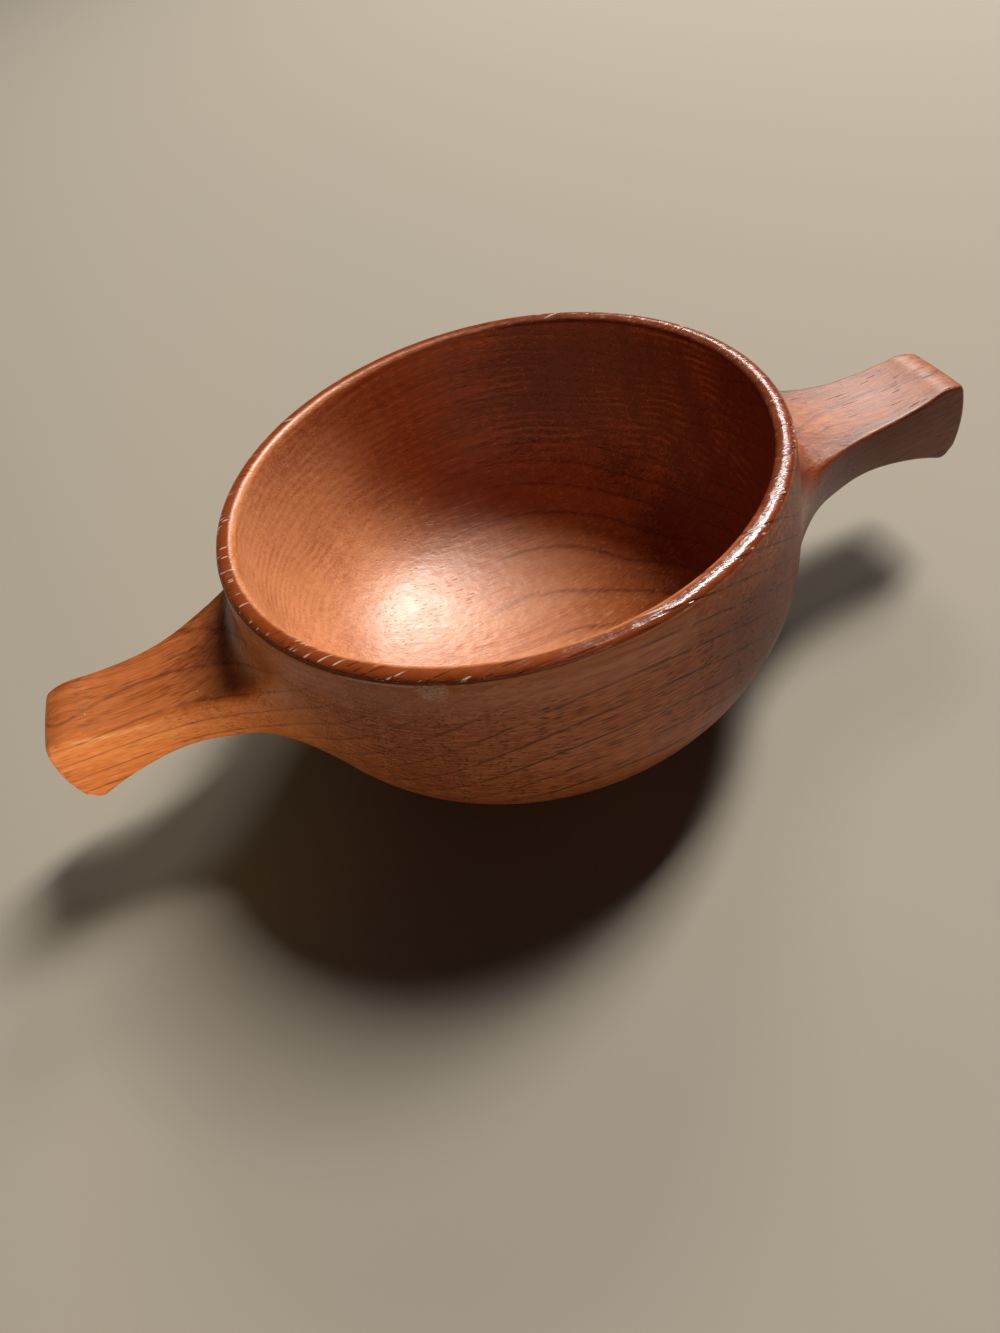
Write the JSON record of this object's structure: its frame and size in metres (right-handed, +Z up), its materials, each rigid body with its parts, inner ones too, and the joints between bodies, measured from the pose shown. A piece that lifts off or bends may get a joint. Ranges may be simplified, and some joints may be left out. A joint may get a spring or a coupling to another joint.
{
  "type": "wooden quaich",
  "caption": "Round turned wooden drinking bowl with a rounded rim and two flat lugs that flare out of its wall, for drinking from with both hands.",
  "frame": {"origin": "on the resting plane, under the middle of the bowl", "axes": "+X along the right-hand lug of the picture, +Z up through the mouth, -Y towards the viewer"},
  "size_m": [0.1854, 0.1044, 0.053],
  "materials": {
    "bowl_wood": "oiled reddish-brown open-pored hardwood, satin",
    "lug_wood": "oiled reddish-brown open-pored hardwood, satin",
    "dowel_wood": "plain sanded hardwood rod"
  },
  "bodies": {
    "root": {"bowl": "bowl_wood", "lug_left": "lug_wood", "lug_right": "lug_wood", "dowel_left_front": "dowel_wood", "dowel_left_back": "dowel_wood", "dowel_right_front": "dowel_wood", "dowel_right_back": "dowel_wood"}
  },
  "joints": []
}
